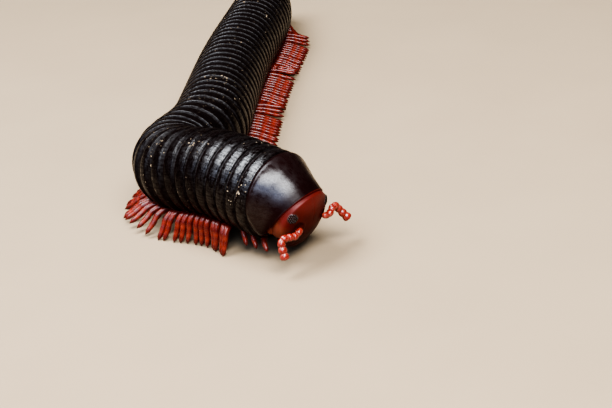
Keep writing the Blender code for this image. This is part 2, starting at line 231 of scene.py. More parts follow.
def keep(obj, name, values):
    """Store numbers on the points, one or three each, for the material to read."""
    values = np.asarray(values, dtype=float)
    kind = "FLOAT" if values.ndim == 1 else "FLOAT_VECTOR"
    attribute = obj.data.attributes.get(name) or obj.data.attributes.new(name, kind, "POINT")
    attribute.data.foreach_set("value" if values.ndim == 1 else "vector", values.ravel())


def laid(obj, straight, share):
    """Lay a piece on the route. Its points keep their place on the straight animal and a share."""
    move_to(obj, lay(straight))
    keep(obj, "straight", straight)
    keep(obj, "share", share)
    return obj


# %% Make, turn, copy and join
MERGE_DISTANCE = 1e-5


def added(name, kind, **options):
    """A new circle, ball or plane, with nothing else selected."""
    operators = {
        "circle": bpy.ops.mesh.primitive_circle_add,
        "ball": bpy.ops.mesh.primitive_uv_sphere_add,
        "plane": bpy.ops.mesh.primitive_plane_add,
    }
    bpy.ops.object.select_all(action="DESELECT")
    operators[kind](**options)
    bpy.context.object.name = name
    return bpy.context.object


@contextmanager
def edit_mode(obj):
    """Edit mode with all of one piece selected, and back again."""
    only(obj)
    bpy.ops.object.mode_set(mode="EDIT")
    bpy.ops.mesh.select_all(action="SELECT")
    yield
    bpy.ops.object.mode_set(mode="OBJECT")


def spun(name, profile, steps):
    """A closed profile of (x, radius) points turned round X. It may start and end on the axis."""
    obj = added(name, "circle", vertices=len(profile), fill_type="NOTHING")
    move_to(obj, np.array([(x, 0.0, radius) for x, radius in profile]))
    with edit_mode(obj):
        bpy.ops.mesh.spin(steps=steps, angle=2.0 * math.pi, center=(0, 0, 0), axis=(1, 0, 0))
        bpy.ops.mesh.select_all(action="SELECT")
        bpy.ops.mesh.remove_doubles(threshold=MERGE_DISTANCE)
        bpy.ops.mesh.delete_loose(use_verts=True, use_edges=True, use_faces=False)
    return obj


def copied(obj):
    """A copy with a mesh of its own."""
    twin = obj.copy()
    twin.data = obj.data.copy()
    bpy.context.scene.collection.objects.link(twin)
    return twin


def joined(name, objects):
    only(*objects)
    bpy.ops.object.join()
    obj = bpy.context.object
    obj.name = name
    obj.data.name = name
    return obj


# %% Finish a piece


def finished(obj, material, nodes=(), sharp=70.0):
    """Normals outwards, soft shading, its material, a parent on the body, and the frame's parts
    that it covers, if any, hidden.
    """
    with edit_mode(obj):
        bpy.ops.mesh.normals_make_consistent(inside=False)
    bpy.ops.object.shade_smooth_by_angle(angle=math.radians(sharp))
    obj.data.materials.append(material)
    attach(obj, "root")
    if nodes:
        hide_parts(*nodes)
    print(obj.name, len(obj.data.polygons), "faces")


# %% [markdown]
# ## Tools for the finishes
# A finish is a tree of nodes in front of one shader. It could be drawn in the Shader Editor, but
# in code one function that adds a node with its settings and links is enough. Two things come
# again and again: noise on the animal's own millimetres, and layers, each of which turns what it
# reads into a little more or less of something.

# %% Colours and nodes


def srgb(code):
    """A hex colour as linear light."""
    parts = [int(code[i : i + 2], 16) / 255.0 for i in (1, 3, 5)]
    return (*[v / 12.92 if v <= 0.04045 else ((v + 0.055) / 1.055) ** 2.4 for v in parts], 1.0)


def fill(node, inputs):
    """Give a node's inputs their values, or link them where the value is a node's output."""
    for socket, given in inputs.items():
        if isinstance(given, bpy.types.NodeSocket):
            node.id_data.links.new(given, node.inputs[socket])
        else:
            node.inputs[socket].default_value = given


def add_node(material, kind, inputs=None, output=0, **settings):
    """One node with its settings, values and links. The output that is used comes back."""
    node = material.node_tree.nodes.new("ShaderNode" + kind)
    for name, value in settings.items():
        setattr(node, name, value)
    fill(node, inputs or {})
    return node.outputs[output]


def new_material(name):
    material = bpy.data.materials.new(name)
    material.use_nodes = True
    print("material", name)
    return material, material.node_tree.nodes["Principled BSDF"]


# %% Patterns and layers
COLOUR = {"data_type": "RGBA", "output": 2}
EVEN = (1, 1, 1)


def noises(material, place, rows):
    """Noise on places in millimetres, for each row of stretch, scale per millimetre and detail."""
    made = []
    for stretch, scale, detail in rows:
        stretched = add_node(material, "Mapping", {"Vector": place, "Scale": stretch})
        sizes = {"Vector": stretched, "Scale": scale, "Detail": detail}
        made.append(add_node(material, "TexNoise", sizes))
    return made


def layered(material, layers, total=1.0, operation="MULTIPLY"):
    """A layer (source, low, high) softly goes from 0 to 1, or to its own two numbers at the end.

    Each layer multiplies the total so far, or is added to it.
    """
    for layer in layers:
        inputs = dict(enumerate(layer))
        layer = add_node(material, "MapRange", inputs, interpolation_type="SMOOTHSTEP")
        total = add_node(material, "Math", {0: total, 1: layer}, operation=operation)
    return total


# %% [markdown]
# ## The shell's cuticle
# The shell is chitin hardened with lime: black with a deep red-brown under it, polished by wear
# like lacquer. What the eye reads is a soft light on black, broken into flecks by fine striae
# round each ring and scratches along the body, with a dull front part of each ring and crumbs of
# soil. Colour and relief could be painted on an unwrap, but noise on the stored places of the
# straight animal follows every bend without a seam. The scratches are about 0.2 mm apart, as on
# the real flanks. The real striae are finer than a pixel here, so they are drawn a quarter of a
# millimetre wide. The polish is strongest on the back of the first rings. It fades on the flanks,
# at each rear rim and behind the fifth ring, because dust and wear dull those places.

# %% What all the chitins share
CHITIN_IOR = 1.56
EVEN_POLISH = 0.25


def new_chitin(name):
    """A material, its shader, and the place and share that its pieces keep on their points."""
    material, shader = new_material(name)
    place = add_node(material, "Attribute", output="Vector", attribute_name="straight")
    share = add_node(material, "Attribute", output="Fac", attribute_name="share")
    return material, shader, place, share


def set_chitin(material, shader, colour, rough, relief, polish, scatter=None):
    """Join the finish to the shader. The relief is (height, strength, depth in metres).

    Where the polish varies, its socket also holds the even value that suits it. Clear chitin
    scatters light: how much, how far in red, green and blue, and the scale in metres.
    """
    height, strength, depth = relief
    bump = add_node(material, "Bump", {"Height": height, "Strength": strength, "Distance": depth})
    fill(shader, {"Base Color": colour, "Roughness": rough, "Normal": bump, "IOR": CHITIN_IOR})
    fill(shader, {"Specular IOR Level": EVEN_POLISH})
    fill(shader, {"Specular IOR Level": polish})
    if scatter:
        sockets = ("Subsurface Weight", "Subsurface Radius", "Subsurface Scale")
        fill(shader, dict(zip(sockets, scatter)))


# %% Material of the shell
SHELL_BLACK, SHELL_DEEP_RED_AND_REFLECTION, SHELL_RIM_RED, SOIL = "#080303", "#190705", "#3A120C", "#80705C"
SHELL_GLOSS, SOIL_ROUGHER = 0.3, 0.5
GRAIN_RELIEF, STRIAE_RELIEF, SOIL_RELIEF = 0.22, 0.7, 2.2
SHELL_NOISES = (
    (EVEN, 0.55, 4.0),  # clouds in the colour
    (EVEN, 3.0, 1.0),  # crumbs of soil
    (EVEN, 0.22, 2.0),  # patches where the crumbs gather
    ((0.16, 1, 1), 5.2, 3.0),  # scratches along the body
    ((1, 0.4, 0.4), 4.2, 2.0),  # striae round the ring
    (EVEN, 9.0, 2.0),  # fine grain, a ninth of a millimetre
)


def shell_cuticle():
    material, shader, place, share = new_chitin("black_lacquered_chitin")
    parts = add_node(material, "SeparateXYZ", {0: place}).node.outputs
    clouds, crumbs, patches, scratches, striae, grain = noises(material, place, SHELL_NOISES)
    # low on the flanks the deep red grows: partly the cuticle's own red-brown, partly a painted
    # warm reflection of the ground
    low_flank_red_and_reflection = (parts["Z"], 1.5, -4.6)
    deep = layered(material, (low_flank_red_and_reflection, (clouds, 0.3, 0.7, 0.45, 1.0)))
    rear_rim = layered(material, ((share, 0.93, 0.99, 0.0, 0.2),))
    gathered = layered(material, ((patches, 0.4, 0.75, -0.06, 0.07),), crumbs, "ADD")
    soil = layered(material, ((gathered, 0.72, 0.75),))
    colour = srgb(SHELL_BLACK)
    for cover, paint in ((deep, SHELL_DEEP_RED_AND_REFLECTION), (rear_rim, SHELL_RIM_RED), (soil, SOIL)):
        colour = add_node(material, "Mix", {0: cover, 6: colour, 7: srgb(paint)}, **COLOUR)
    rough_parts = (
        (striae, 0.25, 0.75, -0.1, 0.13),
        (share, 0.1, 0.16, 0.3, 0.0),  # the dull front part
        (share, 0.8, 0.97, 0.0, 0.25),  # the rear rim
    )
    rough = layered(material, rough_parts, SHELL_GLOSS, "ADD")
    dusty = {0: soil, 1: SOIL_ROUGHER, 2: rough}
    rough = add_node(material, "Math", dusty, operation="MULTIPLY_ADD")
    relief = scratches
    for source, height in ((grain, GRAIN_RELIEF), (striae, STRIAE_RELIEF), (soil, SOIL_RELIEF)):
        raised = {0: source, 1: height, 2: relief}
        relief = add_node(material, "Math", raised, operation="MULTIPLY_ADD")
    polish_parts = (
        (parts["Z"], -3.0, 2.4, 0.1, 0.3),  # the flanks
        (share, 0.80, 0.90, 1.0, 0.15),  # the rear rim
        (striae, 0.36, 0.5, 0.4, 1.05),
        (scratches, 0.38, 0.6, 0.45, 1.2),
        (parts["X"], 4.5, 9.5, 1.0, 0.45),  # behind the fifth ring
    )
    polish = layered(material, polish_parts)
    set_chitin(material, shader, colour, rough, (relief, 0.8, 0.00003), polish)
    return material


SHELL = shell_cuticle()

# %% [markdown]
# ## The rings
# Each ring is a stiff hoop. Its front part slips under the ring before it and is duller. Behind
# it the shell rises in a crisp edge with a fine groove, which catches a narrow line of light, and
# the polished rear part rolls softly down to a rim that covers the next ring. One hoop is turned
# from its profile and copied. When the body bends, the rear parts keep their length and the front
# parts show more or less, so each copy is stretched only there before it is laid on the route.

# %% One hoop, as (share of the pitch, share of the body's radius)
RING_PROFILE = (
    (-0.3, 0.925), (-0.12, 0.938), (0, 0.942), (0.05, 0.943), (0.09, 0.947), (0.11, 0.958),
    (0.13, 0.971), (0.15, 0.981), (0.175, 0.9885), (0.2, 0.9935), (0.222, 0.9962), (0.245, 0.9954),
    (0.268, 0.998), (0.34, 0.999), (0.5, 0.9989), (0.58, 0.9982), (0.66, 0.9967), (0.73, 0.9942),
    (0.79, 0.9905), (0.85, 0.9855), (0.91, 0.978), (0.96, 0.969), (1, 0.96), (0.99, 0.953),
    (0.93, 0.949), (0.8, 0.945), (0.4, 0.93), (0, 0.912), (-0.28, 0.902),
)
RING_STEPS = 128
GROOVE_AT = 0.1
REAR_LENGTH_SHARE, REAR_LENGTH_LIMITS, LEAST_STRETCH = 0.9, (0.4, 0.9), 0.2
hoop = spun("hoop", RING_PROFILE, RING_STEPS)
HOOP = coordinates(hoop)
print("one hoop:", len(hoop.data.polygons), "faces")

# %% Lay the hoops on the route


def belly_flat(right, up):
    """The height of a ring's points, held at the flat belly."""
    return np.maximum(up, -BELLY_FLAT * np.hypot(right, up))


def ring(number):
    start, pitch = RING_EDGES[number], RING_EDGES[number + 1] - RING_EDGES[number]
    share, right, up = HOOP.T
    radius = body_radius(start + np.clip(share, 0, 1) * pitch)
    right, up = right * radius, belly_flat(right, up) * radius
    stretch = 1.0 + curve_at(start + pitch / 2.0) * right
    rear = np.clip(REAR_LENGTH_SHARE / np.maximum(stretch, LEAST_STRETCH), *REAR_LENGTH_LIMITS)
    in_front = share / GROOVE_AT * (1.0 - rear)
    behind = 1.0 - rear + (share - GROOVE_AT) / (1.0 - GROOVE_AT) * rear
    moved = np.where(share < 0.0, share, np.where(share < GROOVE_AT, in_front, behind))
    straight = np.stack((start + moved * pitch, right, up), 1)
    return laid(copied(hoop), straight, np.clip(share, 0, 1))


NODE_RINGS = (5, 4, 3, 3, 4, 5, 5, 5, 5, 5, 5, 3)
RING_PIECES = {"rings_front": (0, 4), "rings_middle": (4, 8), "rings_rear": (8, 12)}
for name, (first_node, last_node) in RING_PIECES.items():
    first_ring, last_ring = sum(NODE_RINGS[:first_node]), sum(NODE_RINGS[:last_node])
    hoops = joined(name, [ring(number) for number in range(first_ring, last_ring)])
    covered = [f"trunk_{number + 1:02d}" for number in range(first_node, last_node)]
    finished(hoops, SHELL, covered, sharp=60.0)
bpy.data.objects.remove(hoop)

# %% [markdown]
# ## Coral chitin of the legs and feelers
# The limbs have thin, clear, coral-red walls, so light goes a little way in and comes out warm.
# A plain red paint would look dead, so the shader scatters light over half a millimetre, and the
# ends of each joint are paler; on the legs that band is partly a painted highlight. The feelers
# are cleaner and glossier than the legs, whose darker colours are a painted shade from the body.

# %% Material of the limbs
LIMB_NOISES = ((EVEN, 1.3, 3.0), (EVEN, 7.0, 2.0))
LIMB_SCATTER = (0.35, (1.0, 0.3, 0.2), 0.0004)


def limb_cuticle(name, deep, pale, gloss, sheen):
    material, shader, place, joint = new_chitin(name)
    clouds, grain = noises(material, place, LIMB_NOISES)
    paler = layered(material, ((clouds, 0.3, 0.7, 0.5, 1.0),), joint)
    colour = add_node(material, "Mix", {0: paler, 6: srgb(deep), 7: srgb(pale)}, **COLOUR)
    rough = layered(material, ((grain, 0.3, 0.7, -0.05, 0.07),), gloss, "ADD")
    set_chitin(material, shader, colour, rough, (grain, 0.3, 0.00002), sheen, LIMB_SCATTER)
    return material


# the legs' colours are darker than the feelers': a painted shade of the body over the legs
LEG_CHITIN_WITH_PAINTED_SHADE = limb_cuticle("coral_leg_chitin_painted_shade", "#3E0C09", "#7E2E20", 0.28, 0.22)
FEELER_CHITIN = limb_cuticle("coral_feeler_chitin", "#671B14", "#A14F40", 0.2, 0.4)

# %% [markdown]
# ## The legs
# A leg has six short joints and a claw. It leaves the flat belly close to the middle, goes out
# under the flank, bends at the knee and comes down to the floor. One straight leg is turned from
# its profile, with fewer sides for the many legs behind, and each copy is bent along its own
# route: legs move in waves, so each stands a little ahead of its neighbour and some are lifted.
# A small sine of each leg's number keeps the row from looking like a comb.

# %% A straight leg
LEG_PROFILE = (
    (0, 0), (0, 0.36), (0.09, 0.4), (0.115, 0.34), (0.2, 0.41), (0.27, 0.4), (0.295, 0.34),
    (0.39, 0.4), (0.46, 0.385), (0.485, 0.325), (0.56, 0.375), (0.62, 0.36), (0.645, 0.305),
    (0.72, 0.345), (0.79, 0.325), (0.815, 0.275), (0.88, 0.285), (0.93, 0.245), (0.955, 0.15),
    (1, 0),
)
LEG_JOINTS = (0.115, 0.295, 0.485, 0.645, 0.81)
NEAR_LEG_STEPS, FAR_LEG_STEPS = 12, 6
NEAR_LEGS_END = 34.0
near_leg = spun("near_leg", LEG_PROFILE, NEAR_LEG_STEPS)
far_leg = spun("far_leg", LEG_PROFILE, FAR_LEG_STEPS)
print("one leg:", len(near_leg.data.polygons), "or", len(far_leg.data.polygons), "faces")

# %% Numbers of the stance
BELLY_CLEAR = AXIS_HEIGHT - BODY_RADIUS * BELLY_FLAT
HIP_OUT, HIP_SUNK, KNEE_OUT, KNEE_UP = 0.95, 0.75, 4.45, 0.25
SHIN_LENGTH, SHIN_SHORTER_PER_HEIGHT, SHIN_LEAN, STRAIGHTEST_SHIN = 3.75, 0.32, 0.55, 0.98
LEG_PLACES = (0.26, 0.70)
SINGLE_PAIR_RINGS, LEGLESS_TAIL_RINGS = 3, 2
WAVE_LEGS, WAVE_SWING, WAVE_LIFT, WAVE_STANDS_BELOW = 17.0, 0.42, 1.25, 0.55
KNEE_LIFT_SHARE, KNEE_SWING_SHARE = 0.45, 0.5
LEG_UNEVEN, UNEVEN_TURN = 0.17, 2.4
FIRST_LEG_SIZE, FIRST_SWING, FIRST_LIFT, FIRST_KNEE_OUT, FIRST_REACH = 0.8, 1.9, 1.4, 2.9, 0.7
KNEE_IN_PER_HEIGHT, KNEE_IN_PER_CURVE = 0.55, 9.0
CROWDED_CURVE, CROWDED_REACH, LEAST_REACH = 0.055, 3.3, 0.3

# %% Where the legs stand


def leg_places():
    """Place along the body, side and number of the pair, for every leg."""
    for number in range(RING_COUNT - LEGLESS_TAIL_RINGS):
        start, end = RING_EDGES[number], RING_EDGES[number + 1]
        single = number < SINGLE_PAIR_RINGS
        for order, share in enumerate((0.5,) if single else LEG_PLACES):
            s = start + (end - start) * share
            pair = number if single else number * 2 - SINGLE_PAIR_RINGS + order
            for side in (-1, 1):
                if not (order == 1 and side * curve_at(s) > CROWDED_CURVE):
                    yield s, side, pair


def leg_route(s, side, pair):
    """Hip, knee, ankle and foot, in millimetres."""
    centre, forward, left, up = (part[0] for part in frames_at(np.array([s])))
    radius = float(body_radius(s))
    size = radius / BODY_RADIUS
    inner = max(0.0, side * float(curve_at(s)))
    above = centre[2] - radius * BELLY_FLAT - BELLY_CLEAR
    front = pair < SINGLE_PAIR_RINGS
    if front:
        size *= FIRST_LEG_SIZE
        swing, lift, knee_lift, knee_out = FIRST_SWING, FIRST_LIFT, 0.0, FIRST_KNEE_OUT
    else:
        phase = 2.0 * math.pi * pair / WAVE_LEGS
        swing = WAVE_SWING * math.sin(phase) + LEG_UNEVEN * math.sin(pair * UNEVEN_TURN + side)
        lifted = max(0.0, math.cos(phase) - WAVE_STANDS_BELOW) / (1.0 - WAVE_STANDS_BELOW)
        lift = WAVE_LIFT * lifted
        knee_lift = lift * KNEE_LIFT_SHARE
        knee_out = KNEE_OUT * size - inner * KNEE_IN_PER_CURVE - above * KNEE_IN_PER_HEIGHT
    hip = centre + left * (side * HIP_OUT * size) + up * (HIP_SUNK - radius * BELLY_FLAT)
    knee = centre + forward * (swing * KNEE_SWING_SHARE) + left * (side * knee_out)
    knee[2] = hip[2] - HIP_SUNK + KNEE_UP + knee_lift
    shin = SHIN_LENGTH * size - above * SHIN_SHORTER_PER_HEIGHT
    drop = min(knee[2] - lift, shin * STRAIGHTEST_SHIN)
    reach = math.sqrt(shin * shin - drop * drop)
    if inner > CROWDED_CURVE:
        reach = min(reach, max(LEAST_REACH, CROWDED_REACH - knee_out))
    if front:
        reach = FIRST_REACH
    foot = centre + forward * swing + left * (side * (knee_out + reach))
    foot[2] = lift
    ankle = knee + (foot - knee) * SHIN_LEAN
    return np.array((hip, knee, ankle, foot)), forward, size


# %% Smooth lines, and places along them


def smooth_rows(rows, t):
    """Values on a smooth line through rows, at t counted from the second row."""
    i = np.clip(t.astype(int), 0, len(rows) - 4)
    f = (t - i)[:, None]
    a, b, c, d = (rows[i + k] for k in range(4))
    square, cube = 2 * a - 5 * b + 4 * c - d, 3 * b - a - 3 * c + d
    return 0.5 * (2 * b + (c - a) * f + square * f**2 + cube * f**3)


def flowing(points, count):
    """Points of a smooth line through a few given ones, evenly spaced along it, and its length."""
    padded = np.vstack((2 * points[0] - points[1], points, 2 * points[-1] - points[-2]))
    line = smooth_rows(padded, np.linspace(0.0, len(points) - 1.0, count * 4))
    far = np.concatenate(([0.0], np.cumsum(np.linalg.norm(np.diff(line, axis=0), axis=1))))
    return values_at(np.linspace(0.0, far[-1], count), far, line), far[-1]


def laid_along(line, side_way, shares, first, second):
    """Places at shares of a line's length, moved sideways by two offsets across it."""
    tangent = unit(np.gradient(line, axis=0))
    side = unit(side_way - tangent * (tangent @ side_way)[:, None])
    number = np.arange(len(line))
    at = np.clip(shares, 0, 1) * number[-1]
    ways = (line, side, np.cross(tangent, side))
    centre, side, other = (values_at(at, number, way) for way in ways)
    return centre + side * first[:, None] + other * second[:, None]


# %% Bend a copy of the leg along each route
LEG_LINE_POINTS = 24
LEG_FULLNESS, LEAST_LEG_SIZE = 1.08, 0.9
SIDE_SHIFT = 7.0
PALE_JOINT_GLINT_REACH, PALE_JOINT_GLINT_SHARE = 0.05, 0.8


def leg(s, side, pair):
    """A leg in its stance. Its joints are paler, partly their own colour and partly a painted
    highlight, and the clouds differ between the two sides.
    """
    points, forward, size = leg_route(s, side, pair)
    line, length = flowing(points, LEG_LINE_POINTS)
    template = near_leg if s < NEAR_LEGS_END else far_leg
    share, right, up = coordinates(template).T
    thick = LEG_FULLNESS * max(size, LEAST_LEG_SIZE)
    placed = laid_along(line, forward, share, right * thick, up * thick)
    placed[:, 2] = np.maximum(placed[:, 2], 0.0)
    piece = copied(template)
    move_to(piece, placed * MM)
    keep(piece, "straight", np.stack((share * length + s, right, up + side * SIDE_SHIFT), 1))
    # the paler band at each joint is partly the joint's own colour and partly a painted highlight
    gap = np.min(np.abs(share[:, None] - np.array(LEG_JOINTS)), axis=1)
    pale = np.clip(1.0 - gap / PALE_JOINT_GLINT_REACH, 0, 1)
    keep(piece, "share", pale * PALE_JOINT_GLINT_SHARE + smooth(share) * (1.0 - PALE_JOINT_GLINT_SHARE))
    return piece


for name, wanted in (("legs_right", -1), ("legs_left", 1)):
    legs = joined(name, [leg(s, side, pair) for s, side, pair in leg_places() if side == wanted])
    finished(legs, LEG_CHITIN_WITH_PAINTED_SHADE)
bpy.data.objects.remove(near_leg)
bpy.data.objects.remove(far_leg)

# %% [markdown]
# ## The hood
# Behind the head lies the collum, a smooth hood that covers the neck. Its rear rim is a full
# round and softly rounded over, its front margin slopes back towards the floor, and a thin red
# edge shows there. The polish fades towards both, which leaves one broad patch of light. It could
# be a sphere cut by a slanting plane, but its sides swell lower down, so a turned sleeve is set
# on the hood's own rows: each row has a top, a foot, a half width and the height of its waist.

# %% Numbers and shape of the hood
# each row: how far forward and how high its top is, the same of its foot, half width, waist
HOOD_ROWS = np.array((
    (0.0, 5.25, 0.0, -4.3, 5.25, 0.5),
    (1.6, 4.82, 0.5, -4.2, 5.05, 0.64),
    (3.0, 3.88, 0.95, -3.95, 4.77, 0.75),
    (4.25, 2.93, 1.25, -3.5, 4.55, 0.81),
    (5.1, 2.25, 1.48, -3.03, 4.38, 0.82),
))
WALL_FORWARD = 2.0


def hood_places(t, turn, size):
    """Places on the hood: t in rows, turn from its top, size 1 outside and less inside."""
    before = HOOD_ROWS[1] * (-1, 1, -1, 1, 1, 1)
    after = 2 * HOOD_ROWS[-1] - HOOD_ROWS[-2]
    values = smooth_rows(np.vstack((before, HOOD_ROWS, after)), t)
    top_f, top_u, foot_f, foot_u, half, waist = values.T
    rise = np.cos(turn)
    down = np.where(rise > 0.0, waist * (1.0 - rise), waist - (1.0 - waist) * rise)
    forward = top_f + (foot_f - top_f) * down - (1.0 - size) * WALL_FORWARD
    up = top_u + (foot_u - top_u) * down
    return np.stack((-forward, half * np.sin(turn) * size, up * size), 1)


# %% Make the hood
HOOD_MARGIN = 4.0
HOOD_STEPS = 160
HOOD_PROFILE = (
    [(-0.06, 0.958), (-0.09, 0.968), (-0.07, 0.978), (-0.03, 0.984), (0, 0.9875), (0.04, 0.991)]
    + [(0.09, 0.9945), (0.15, 0.997), (0.22, 0.9987), (0.3, 0.9996)]
    + [(HOOD_MARGIN * i / 30, 1) for i in range(3, 28)]
    + [(3.66, 1), (3.7, 0.998), (3.74, 1.004), (3.84, 1.009), (3.94, 1.008), (4, 1)]
    + [(4.02, 0.985), (3.98, 0.965), (3.8, 0.955), (3, 0.95), (2, 0.95), (1, 0.955)]
    + [(0.4, 0.96)]
)
hood = spun("hood", HOOD_PROFILE, HOOD_STEPS)
t, across, above = coordinates(hood).T
sleeve = hood_places(t, np.arctan2(across, above), np.hypot(across, above))
laid(hood, sleeve, np.clip(t / HOOD_MARGIN, 0, 1))
print("hood:", len(hood.data.polygons), "faces")

# %% Material of the hood
HOOD_BLACK, HOOD_MAROON_AND_REFLECTION, HOOD_EDGE_RED = "#120505", "#1A0705", "#48120B"
HOOD_GLOSS, FLECK_RELIEF = 0.28, 0.15
HOOD_NOISES = (
    (EVEN, 0.5, 4.0),  # clouds in the colour
    (EVEN, 2.6, 1.0),  # crumbs of soil
    ((0.3, 1, 1), 2.2, 5.0),  # soft streaks along the body
    (EVEN, 8.0, 2.0),  # fine flecks, an eighth of a millimetre
)


def hood_cuticle():
    """The shell's finish, smoother: maroon low on the sides, partly its own colour and partly a
    painted warm reflection of the ground, a red front edge, dull rims.
    """
    material, shader, place, margin = new_chitin("polished_hood_chitin")
    height = add_node(material, "SeparateXYZ", {0: place}, "Z")
    clouds, crumbs, streaks, flecks = noises(material, place, HOOD_NOISES)
    # maroon low on the sides: partly the chitin's own colour, partly a painted warm reflection of
    # the ground
    low_side_maroon_and_reflection = (height, 2.8, -3.2)
    deep = layered(material, (low_side_maroon_and_reflection, (clouds, 0.3, 0.7, 0.55, 1.0)))
    red_edge = layered(material, ((margin, 0.972, 0.99),))
    soil = layered(material, ((crumbs, 0.79, 0.81),))
    colour = srgb(HOOD_BLACK)
    for cover, paint in ((deep, HOOD_MAROON_AND_REFLECTION), (red_edge, HOOD_EDGE_RED), (soil, SOIL)):
        colour = add_node(material, "Mix", {0: cover, 6: colour, 7: srgb(paint)}, **COLOUR)
    rough = layered(material, ((streaks, 0.3, 0.7, -0.04, 0.08),), HOOD_GLOSS, "ADD")
    raised = {0: flecks, 1: FLECK_RELIEF, 2: streaks}
    relief = add_node(material, "Math", raised, operation="MULTIPLY_ADD")
    polish_parts = (
        (height, -4.2, 0.8, 0.13, 0.29),  # low on the sides
        (margin, 0.5, 0.82, 1.0, 0.2),  # towards the front edge
        (margin, 0.0, 0.08, 0.12, 1.0),  # the rear rim
        (streaks, 0.36, 0.6, 0.78, 1.1),
        (flecks, 0.36, 0.6, 0.75, 1.12),
    )
    polish = layered(material, polish_parts)
    set_chitin(material, shader, colour, rough, (relief, 0.3, 0.00003), polish)
    return material


finished(hood, hood_cuticle(), ["collum"], sharp=60.0)

# %% [markdown]
# ## The head capsule
# The head is a rounded shield that looks down and forward from under the hood. A fine seam runs
# down its brow, the feelers leave from round sockets, and its lower edge has a notch with three
# small teeth. It could be sculpted, but numbers keep both sides alike: rows from the neck to the
# middle of the face are turned into a dome whose last point is the face's middle, and the seam,
# sockets and notch are pressed into it.

# %% Numbers of the head
FACE_PITCH = math.radians(34.4)
FACE_TOP = (5.1, 2.25)
# each row: the depth of its top and of its foot, how far down the face both are, half width
HEAD_ROWS = np.array((
    (-1.4, -1.4, 1.2, 5.0, 2.9),
    (-0.45, -0.45, 0.5, 5.95, 3.5),
    (0.25, 0.35, 0.25, 6.6, 3.68),
    (0.6, 1.85, 0.38, 7.1, 3.7),
    (1.3, 2.52, 1.15, 7.25, 3.04),
    (2.02, 2.82, 2.36, 6.6, 1.98),
    (2.72, 2.72, 4.3, 4.3, 0.0),
))
HEAD_STEPS = 200
FACE_STARTS, FACE_FULL_OVER = 2.0, 1.2
SEAM_WIDTH, SEAM_DEPTH, SEAM_ENDS_AT, SEAM_FADE = 0.075, 0.05, 3.4, 1.2
SOCKET_FACE, SOCKET_RADIUS, SOCKET_DEPTH, SOCKET_WALL = (2.96, 2.0), 0.62, 0.3, 0.22
SOCKET_RIM_OUT, SOCKET_RIM_WIDTH, SOCKET_RIM_HEIGHT = 0.1, 0.13, 0.06
LIP_LINE_AT, LIP_LINE_BOW, LIP_LINE_WIDTH, LIP_LINE_DEPTH = 5.75, 0.1, 0.13, 0.07
LIP_LINE_HALF, LIP_LINE_FADE = 2.6, 0.5
NOTCH_TOP, NOTCH_FADE, NOTCH_HALF, NOTCH_DEPTH = 6.5, 0.5, 0.75, 0.42
TOOTH_COUNT, TOOTH_HEIGHT = 3.0, 0.16


def face_places(depth, down, left):
    """From the face (out of it, down it and to the left) to the straight animal."""
    forward = FACE_TOP[0] + depth * math.cos(FACE_PITCH) - down * math.sin(FACE_PITCH)
    up = FACE_TOP[1] - depth * math.sin(FACE_PITCH) - down * math.cos(FACE_PITCH)
    return np.stack(np.broadcast_arrays(-forward, -left, up), -1)


def bell(value, width):
    return np.exp(-((value / width) ** 2))


# %% The dome of the head, its rows close together on the face
NECK_MIDDLE_DOWN = 3.0
head_t = np.concatenate((np.linspace(0.0, 2.0, 12), np.linspace(2.1, 6.0, 72)))
head_profile = [(0.0, 0.0)] + [(t, 1.0) for t in head_t[:-1]] + [(6.0, 0.0)]
head = spun("head_capsule", head_profile, HEAD_STEPS)
t, across, above = coordinates(head).T
turn = np.arctan2(across, above)
neck = (t < MERGE_DISTANCE) & (np.hypot(across, above) < 0.5)
before = 2 * HEAD_ROWS[0] - HEAD_ROWS[1]
mirror = HEAD_ROWS[-2][[1, 0, 3, 2, 4]] * (1, 1, 1, 1, -1)
head_values = smooth_rows(np.vstack((before, HEAD_ROWS, mirror)), t)
depth_top, depth_foot, top, foot, half = head_values.T
down = (1.0 - np.cos(turn)) / 2.0
depth = depth_top + (depth_foot - depth_top) * down
low = top + (foot - top) * down
left = half * np.sin(turn)
left[neck], low[neck] = 0.0, NECK_MIDDLE_DOWN
print("head:", len(head.data.polygons), "faces")

# %% Seam, sockets, lip line and notch
facing = smooth((t - FACE_STARTS) / FACE_FULL_OVER)
seam = bell(left, SEAM_WIDTH) * smooth((SEAM_ENDS_AT - low) / SEAM_FADE) * SEAM_DEPTH
beyond = np.hypot(low - SOCKET_FACE[0], np.abs(left) - SOCKET_FACE[1]) - SOCKET_RADIUS
pit = smooth(-beyond / SOCKET_WALL) * SOCKET_DEPTH
pit -= bell(beyond - SOCKET_RIM_OUT, SOCKET_RIM_WIDTH) * SOCKET_RIM_HEIGHT
lip_line = bell(low - LIP_LINE_AT - LIP_LINE_BOW * left**2, LIP_LINE_WIDTH) * LIP_LINE_DEPTH
lip_line *= smooth((LIP_LINE_HALF - np.abs(left)) / LIP_LINE_FADE)
depth = depth - (seam + pit + lip_line) * facing
aside = left / NOTCH_HALF
notch = smooth((low - NOTCH_TOP) / NOTCH_FADE) * np.clip(1.0 - aside**2, 0.0, None) ** 2
teeth = np.cos(np.clip(aside, -1, 1) * TOOTH_COUNT * math.pi)
low = low - notch * (NOTCH_DEPTH - TOOTH_HEIGHT * teeth)

# %% Lay the head, and mark where it is darker and where orange
EYE_DOWN, EYE_OUT, DARK_ROUND_EYE, DARK_REACH = 1.9, 2.7, 0.55, 1.15
DARK_OUT_ON_FACE, DARK_DOWN_FACE = 0.75, 0.35
